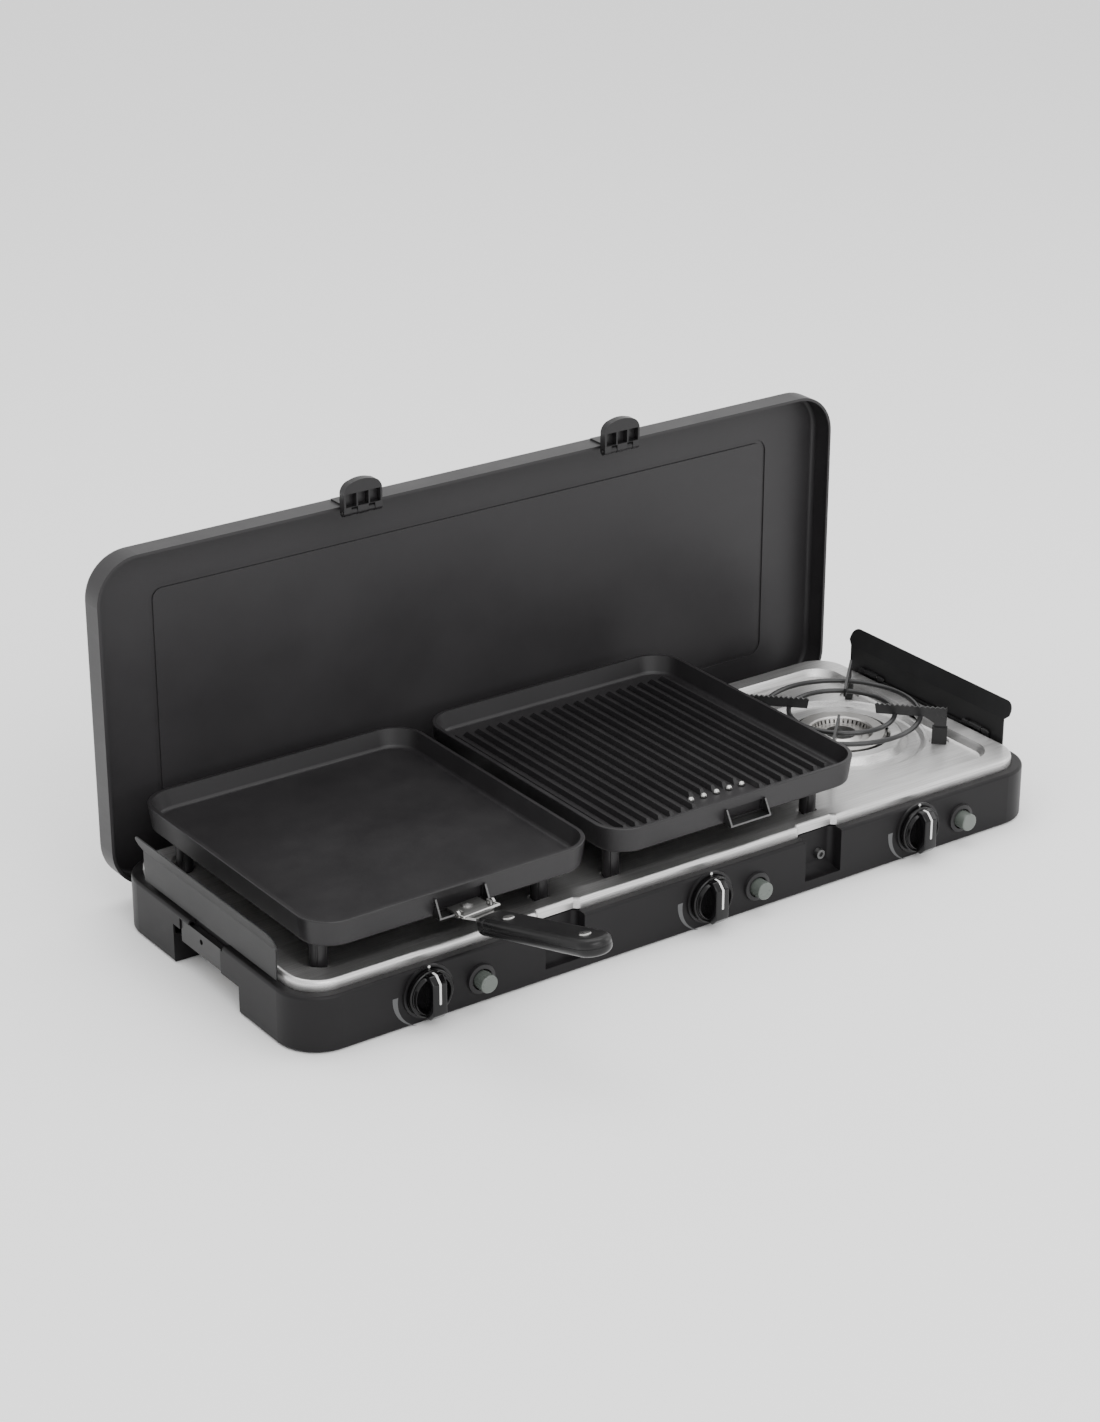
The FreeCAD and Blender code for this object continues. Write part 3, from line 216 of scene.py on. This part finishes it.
MATERIALS = {
    "base coat": coated("satin_black_base_coat", (0.0066, 0.0061, 0.0067), (0.0092, 0.0086, 0.0093),
                        0.42, 1500.0, 0.10, shine=0.18),
    "lid coat": coated("satin_black_lid_coat", (0.0185, 0.0175, 0.0186), (0.0240, 0.0228, 0.0241),
                       0.40, 1500.0, 0.10, shine=0.30),
    "shield": coated("matt_black_shield_coat", (0.008, 0.008, 0.0083), (0.0115, 0.0115, 0.012),
                     0.46, 1500.0, 0.10),
    "non-stick": coated("nonstick_cast_plate", (0.0115, 0.0108, 0.0116), (0.0150, 0.0141, 0.0151),
                        0.40, 1100.0, 0.22, 0.012),
    "enamel": coated("support_black_enamel", (0.010, 0.010, 0.0105), (0.016, 0.016, 0.0165),
                     0.30, 700.0, 0.15, coat=0.2),
    "steel": polished("brushed_hob_steel", (0.46, 0.455, 0.45), (0.76, 0.755, 0.75), 0.36, strength=0.2,
                      metallic=0.92),
    "plated": polished("zinc_plated_steel", (0.42, 0.42, 0.41), (0.58, 0.575, 0.56), 0.28, 30.0, 0.08, 0.0),
    "tongue": polished("rolled_tongue_steel", (0.22, 0.218, 0.215), (0.32, 0.318, 0.312),
                       0.32, 30.0, 0.1, 0.0),
    "dark plated": polished("dark_plated_steel", (0.10, 0.10, 0.10), (0.17, 0.17, 0.17),
                            0.32, 30.0, 0.08, 0.0),
    "burner": polished("burner_steel", (0.42, 0.41, 0.40), (0.56, 0.55, 0.53), 0.32, 40.0, 0.15, 0.0),
    "brass": polished("turned_brass", (0.52, 0.37, 0.13), (0.66, 0.50, 0.20), 0.26, 40.0, 0.1, 0.0),
    "aluminium": polished("cast_aluminium", (0.45, 0.45, 0.45), (0.6, 0.6, 0.6), 0.42, 20.0, 0.2, 0.0),
    "knob": coated("knob_black_plastic", (0.0025, 0.0023, 0.0026), (0.004, 0.0038, 0.0041),
                   0.16, 1200.0, 0.03, 0.005, shine=0.30),
    "grip": coated("handle_black_plastic", (0.0045, 0.0043, 0.0046), (0.0075, 0.0072, 0.0076),
                   0.30, 1000.0, 0.14, 0.01, shine=0.28),
    "trim": coated("black_plastic_trim", (0.011, 0.0105, 0.0112), (0.016, 0.0153, 0.0161), 0.34, 1000.0, 0.10,
                   0.02, shine=0.3),
    "button": coated("grey_green_button", (0.070, 0.082, 0.073), (0.095, 0.108, 0.097), 0.28, 800.0,
                     0.05, 0.05,
                     coat=0.3, shine=0.5),
    "clip": coated("dark_clip_coat", (0.005, 0.0048, 0.0051), (0.008, 0.0077, 0.0081), 0.30, 1300.0, 0.08),
    "rubber": coated("black_rubber", (0.010, 0.010, 0.010), (0.016, 0.016, 0.016), 0.62, 600.0, 0.35),
    "ceramic": coated("white_ceramic", (0.60, 0.58, 0.54), (0.72, 0.70, 0.66), 0.28, 400.0, 0.05),
    "white print": coated("white_print", (0.62, 0.62, 0.61), (0.72, 0.72, 0.71), 0.45, 900.0, 0.05, 0.1),
    "grey print": coated("grey_print", (0.070, 0.071, 0.073), (0.085, 0.086, 0.088), 0.45, 900.0, 0.05, 0.1),
}

NODE_FINISHES = {
    "base coat": ["base_shell", "bottom_plate"],
    "lid coat": ["lid_shell"],
    "clip": ["side_clip"],
    "shield": ["windshield_left", "windshield_right", "windshield_brackets"],
    "non-stick": ["flat_plate", "ribbed_plate"],
    "enamel": ["pot_support_frame"],
    "steel": ["hob_top"],
    "plated": ["bottom_screws", "hob_clips", "lid_arms", "lid_arm_rivets", "lid_hinge_cheeks",
               "lid_hinge_pins", "latch_pins", "windshield_pins", "handle_rivets", "handle_bail",
               "thermocouples"]
              + ["spindle_" + s for s in SIDES] + ["push_collar_" + s for s in SIDES],
    "tongue": ["handle_tongue"],
    "dark plated": ["latch_studs", "flat_plate_bracket", "ribbed_plate_bracket"],
    "burner": ["burner_spreaders"] + ["burner_crown_" + s for s in SIDES],
    "brass": ["gas_inlet", "gas_jets", "valve_bodies"],
    "aluminium": ["gas_rail"] + ["burner_body_" + s for s in SIDES],
    "knob": ["knob_" + s for s in SIDES],
    "grip": ["handle_grip_top", "handle_grip_bottom"],
    "trim": ["piezo_units", "knob_bezels", "igniter_bezels", "latch_left", "latch_right", "latch_brackets"],
    "button": ["igniter_button_" + s for s in SIDES],
    "rubber": ["rubber_feet", "pot_support_boots"],
    "ceramic": ["electrodes"],
}
for finish_name, members in NODE_FINISHES.items():
    for member in members:
        nodes[member].data.materials.clear()
        nodes[member].data.materials.append(MATERIALS[finish_name])

# ---------------------------------------------------------------- modelling by hand
MM = 0.001
FACING_FRONT = (math.radians(90), 0.0, 0.0)


def begin(kind, name, place, **shape):
    """Add one primitive, in millimetres, with its transform put into the mesh."""
    if bpy.context.mode != "OBJECT":
        bpy.ops.object.mode_set(mode="OBJECT")
    bpy.ops.object.select_all(action="DESELECT")
    lengths = ("radius", "depth", "size")
    sizes = {key: value * MM if key in lengths else value for key, value in shape.items()}
    getattr(bpy.ops.mesh, "primitive_" + kind + "_add")(location=Vector(place) * MM, **sizes)
    piece = bpy.context.active_object
    piece.name = name
    return piece


def settle(piece):
    """Leave the piece at the origin, unturned and unscaled."""
    bpy.ops.object.mode_set(mode="OBJECT")
    bpy.ops.object.select_all(action="DESELECT")
    piece.select_set(True)
    bpy.context.view_layer.objects.active = piece
    bpy.ops.object.transform_apply(location=True, rotation=True, scale=True)


def pick(piece, part, test):
    """In edit mode, select only the faces or edges whose centre and direction pass the test (millimetres)."""
    bpy.ops.object.mode_set(mode="EDIT")
    bpy.ops.mesh.select_mode(type="FACE" if part == "faces" else "EDGE")
    bpy.ops.mesh.select_all(action="DESELECT")
    mesh = bmesh.from_edit_mesh(piece.data)
    for item in getattr(mesh, part):
        if part == "faces":
            chosen = test(item.calc_center_median() / MM, item.normal)
        else:
            first, last = (v.co / MM for v in item.verts)
            chosen = test((first + last) / 2, (last - first).normalized())
        item.select_set(chosen)
    mesh.select_flush_mode()
    bmesh.update_edit_mesh(piece.data)


def grow(vector, scale=1.0, centre=None):
    """Extrude the selected faces by a vector in millimetres, then scale them about a centre."""
    bpy.ops.mesh.extrude_region_move(TRANSFORM_OT_translate={"value": Vector(vector) * MM})
    if scale != 1.0:
        bpy.ops.transform.resize(value=(scale, scale, scale), center_override=Vector(centre) * MM)


def rounded(piece, width, segments=3, angle=35.0):
    """Round the sharp edges and shade the piece smooth."""
    bpy.ops.object.mode_set(mode="OBJECT")
    modifier = piece.modifiers.new("edge_round", "BEVEL")
    modifier.width = width * MM
    modifier.segments = segments
    modifier.limit_method = "ANGLE"
    modifier.angle_limit = math.radians(angle)
    bpy.ops.object.select_all(action="DESELECT")
    piece.select_set(True)
    bpy.context.view_layer.objects.active = piece
    bpy.ops.object.modifier_apply(modifier="edge_round")
    bpy.ops.object.shade_smooth_by_angle(angle=math.radians(40))


def finish_piece(piece, finish, body, slot, *stands_for):
    settle(piece)
    piece.data.materials.clear()
    piece.data.materials.append(MATERIALS[finish])
    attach(piece, body)
    if stands_for:
        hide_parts(*stands_for)
    return piece


def copy_along(piece, name, shift):
    """A copy with its own mesh, moved along X by so many millimetres."""
    twin = piece.copy()
    twin.data = piece.data.copy()
    twin.name = name
    bpy.context.scene.collection.objects.link(twin)
    bpy.ops.object.select_all(action="DESELECT")
    twin.select_set(True)
    bpy.context.view_layer.objects.active = twin
    bpy.ops.transform.translate(value=(shift * MM, 0, 0))
    bpy.ops.object.transform_apply(location=True, rotation=True, scale=True)
    return twin


def join_all(main, *others):
    bpy.ops.object.mode_set(mode="OBJECT")
    bpy.ops.object.select_all(action="DESELECT")
    for piece in (main, *others):
        piece.select_set(True)
    bpy.context.view_layer.objects.active = main
    bpy.ops.object.join()
    return main


PANEL_Y = -165.0
KNOB_Z = 31.0
KNOB_BACK = -168.0
KNOB_FRONT = -186.0
KNOB_R = 22.8
BAR_WIDTH = 14.6
BAR_HEIGHT = 42.8
BAR_CHAMFER = 6.4
POINTER_WIDTH = 2.1
POINTER_DEPTH = 0.6
IGNITER_Z = 25.5
CAP_R = 8.7
DOT_R = 1.35
DOT_UP = 24.2
DOT_RIGHT = 0.6
SCALE_OUTER_R = 32.1
SCALE_INNER_R = 29.2
NUB_FIRST = (38.5, -102.5, 98.0)
NUB_PITCH = 15.0
NUB_R = 3.32
BURNERS = (-255.0, 55.0, 308.0)
KNOB_X = [x - 42.0 for x in BURNERS]
IGNITER_X = [x + 14.0 for x in BURNERS]


def make_knob(x):
    """Turned skirt with a dished face, and a chamfered grip bar across it."""
    hub = (x, KNOB_BACK, KNOB_Z)
    dial = begin("cylinder", "knob_dial", (x, KNOB_BACK - 2.2, KNOB_Z), radius=KNOB_R, depth=4.4,
                 vertices=128, rotation=FACING_FRONT)
    settle(dial)
    pick(dial, "faces", lambda c, n: n.y < -0.9)
    for forward, scale in ((-1.1, 0.955), (0, 0.90), (-4.2, 0.96), (0, 0.93), (3.4, 0.88)):
        grow((0, forward, 0), scale, hub)
    rounded(dial, 0.45, 3)
    deep = 15.0
    bar = begin("cube", "knob_bar", (x, KNOB_FRONT + deep / 2, KNOB_Z), size=1.0,
                scale=(BAR_WIDTH, deep, BAR_HEIGHT))
    settle(bar)
    pick(bar, "edges", lambda c, d: abs(d.x) > 0.9 and c.y < KNOB_FRONT + 1)
    bpy.ops.mesh.bevel(offset=BAR_CHAMFER * MM, segments=1)
    rounded(bar, 1.1, 4, 30.0)
    return join_all(dial, bar)


def make_pointer(x):
    """Painted pointer let into the bar: down the front, over the chamfer and along the top."""
    middle = KNOB_Z + 5.5
    strip = begin("cube", "knob_pointer", (x, KNOB_FRONT, middle), size=1.0,
                  scale=(POINTER_WIDTH, POINTER_DEPTH, 19.2))
    settle(strip)
    pick(strip, "faces", lambda c, n: n.z < -0.9)
    grow((0, 0, -0.8), 0.6, (x, KNOB_FRONT, middle - 10))
    slope = begin("cube", "pointer_slope", (x, KNOB_FRONT + 3.2, KNOB_Z + 18.2), size=1.0,
                  scale=(POINTER_WIDTH, POINTER_DEPTH, 9.4), rotation=(math.radians(-45), 0, 0))
    settle(slope)
    crest = begin("cube", "pointer_crest", (x, KNOB_FRONT + 9.2, KNOB_Z + BAR_HEIGHT / 2), size=1.0,
                  scale=(POINTER_WIDTH, 6.0, POINTER_DEPTH))
    settle(crest)
    strip = join_all(strip, slope, crest)
    rounded(strip, 0.12, 2)
    return strip


def make_button(x):
    """Push button with a softly domed face and a rounded edge."""
    button = begin("cylinder", "igniter_cap", (x, PANEL_Y - 3.2, IGNITER_Z), radius=CAP_R, depth=22.4,
                   vertices=96, rotation=FACING_FRONT)
    settle(button)
    front = PANEL_Y - 14.4
    pick(button, "faces", lambda c, n: n.y < -0.9)
    grow((0, -0.25, 0), 0.80, (x, front, IGNITER_Z))
    grow((0, -0.12, 0), 0.62, (x, front, IGNITER_Z))
    rounded(button, 1.1, 4)
    return button


def make_dot(x):
    """Start mark on the bezel, above the knob."""
    across, up = x + DOT_RIGHT, KNOB_Z + DOT_UP
    dot = begin("cylinder", "start_dot", (across, PANEL_Y - 2.3, up), radius=DOT_R, depth=0.5,
                vertices=32, rotation=FACING_FRONT)
    settle(dot)
    pick(dot, "faces", lambda c, n: n.y < -0.9)
    grow((0, -0.08, 0), 0.85, (across, PANEL_Y - 2.5, up))
    return dot


def make_crescent(x):
    """Printed heat scale: the space between two off-centre discs, cut off at its wide end."""
    mark = begin("cylinder", "heat_scale", (x - 3.9, PANEL_Y - 0.05, KNOB_Z + 0.3), radius=SCALE_OUTER_R,
                 depth=0.3, vertices=160, rotation=FACING_FRONT)
    settle(mark)
    hole = begin("cylinder", "scale_cutter", (x - 1.6, PANEL_Y, KNOB_Z - 3.4), radius=SCALE_INNER_R,
                 depth=4.0, vertices=160, rotation=FACING_FRONT)
    settle(hole)
    modifier = mark.modifiers.new("inner_edge", "BOOLEAN")
    modifier.operation = "DIFFERENCE"
    modifier.object = hole
    bpy.context.view_layer.objects.active = mark
    bpy.ops.object.modifier_apply(modifier="inner_edge")
    bpy.data.objects.remove(hole)
    for point, normal in (((x, PANEL_Y, KNOB_Z + 2.3), (0, 0, 1)), ((x - 4.0, PANEL_Y, KNOB_Z), (1, 0, 0))):
        pick(mark, "faces", lambda c, n: True)
        bpy.ops.mesh.bisect(plane_co=Vector(point) * MM, plane_no=normal, use_fill=True, clear_outer=True)
    return mark


def make_drain_nubs():
    """Bright caps on the five drain nubs of the ribbed plate: their light plated colour is a painted
    highlight for the glint the nubs catch, and partly worn coating.
    """
    first = begin("uv_sphere", "drain_nub", NUB_FIRST, radius=NUB_R, segments=32, ring_count=16)
    settle(first)
    pick(first, "faces", lambda c, n: True)
    cut = Vector((0, 0, NUB_FIRST[2] - 0.2)) * MM
    bpy.ops.mesh.bisect(plane_co=cut, plane_no=(0, 0, -1), use_fill=True, clear_outer=True)
    bpy.ops.object.mode_set(mode="OBJECT")
    bpy.ops.object.shade_smooth_by_angle(angle=math.radians(40))
    for i in range(5):
        piece = first if i == 0 else copy_along(first, "drain_nub", NUB_PITCH * i)
        piece.name = "drain_nub_highlight_cap_" + str(i + 1)
        # Light plated finish on the caps: painted highlight, partly worn coating.
        finish_piece(piece, "plated", "ribbed_plate", "zinc_steel")


def dress_controls():
    """The pieces of one burner's controls, modelled once and copied to the other two."""
    makers = (("knob", make_knob, KNOB_X, "knob", "black_plastic"),
              ("pointer", make_pointer, KNOB_X, "white print", "button_grey"),
              ("igniter_cap", make_button, IGNITER_X, "button", "button_grey"),
              ("start_dot", make_dot, KNOB_X, "white print", "button_grey"),
              ("heat_scale", make_crescent, KNOB_X, "grey print", "button_grey"))
    bodies = {"knob": "knob_", "pointer": "knob_", "igniter_cap": "igniter_button_"}
    stands = {"knob": "knob_", "igniter_cap": "igniter_button_"}
    for label, maker, places, finish, slot in makers:
        first = maker(places[0])
        settle(first)
        for i, side in enumerate(SIDES):
            piece = first if i == 0 else copy_along(first, label, places[i] - places[0])
            piece.name = label + "_piece_" + side
            body = bodies[label] + side if label in bodies else "base"
            node = [stands[label] + side] if label in stands else []
            finish_piece(piece, finish, body, slot, *node)


dress_controls()
make_drain_nubs()


# ---------------------------------------------------------------- studio
def make_floor():
    bpy.ops.mesh.primitive_plane_add(size=14.0, location=(0, 0, 0))
    floor = bpy.context.active_object
    floor.name = "floor"
    material = bpy.data.materials.new("pale_floor")
    material.use_nodes = True
    material.node_tree.nodes["Principled BSDF"].inputs["Base Color"].default_value = (0.97, 0.97, 0.97, 1)
    material.node_tree.nodes["Principled BSDF"].inputs["Roughness"].default_value = 0.7
    floor.data.materials.append(material)


def make_light(name, place, aim, size, power):
    light = bpy.data.lights.new(name, "AREA")
    light.shape = "RECTANGLE"
    light.size, light.size_y = size
    light.energy = power
    lamp = bpy.data.objects.new(name, light)
    lamp.location = place
    lamp.rotation_euler = (Vector(aim) - Vector(place)).to_track_quat("-Z", "Y").to_euler()
    bpy.context.scene.collection.objects.link(lamp)


def make_camera(azimuth, elevation, distance, target, lens):
    """A camera that looks at target; azimuth 0 looks along +Y."""
    turn, rise = math.radians(azimuth), math.radians(elevation)
    back = Vector((math.sin(turn) * math.cos(rise), -math.cos(turn) * math.cos(rise), math.sin(rise)))
    data = bpy.data.cameras.new("camera")
    data.lens = lens
    data.sensor_width = 36.0
    data.clip_end = 50.0
    camera = bpy.data.objects.new("camera", data)
    camera.location = Vector(target) + back * distance
    camera.rotation_euler = back.to_track_quat("Z", "Y").to_euler()
    bpy.context.scene.collection.objects.link(camera)
    bpy.context.scene.camera = camera


make_floor()
make_light("key", (-0.6, -2.7, 2.5), (0, 0, 0.1), (2.6, 1.6), 52)
make_light("front_low", (-0.3, -2.8, 0.7), (0, 0, 0.1), (2.6, 0.6), 10)
make_light("overhead", (0.3, 0.4, 2.8), (0, 0, 0), (3.0, 1.6), 36)
make_light("right_fill", (2.8, -1.0, 1.4), (0, 0, 0.1), (1.4, 1.8), 16)
world = bpy.data.worlds.new("studio")
world.use_nodes = True
world.node_tree.nodes["Background"].inputs["Color"].default_value = (1, 1, 1, 1)
world.node_tree.nodes["Background"].inputs["Strength"].default_value = 1.35
bpy.context.scene.world = world
make_camera(-35.235, 23.9, 3.171266, (0.046887, 0.136836, 0.1), 81.19)
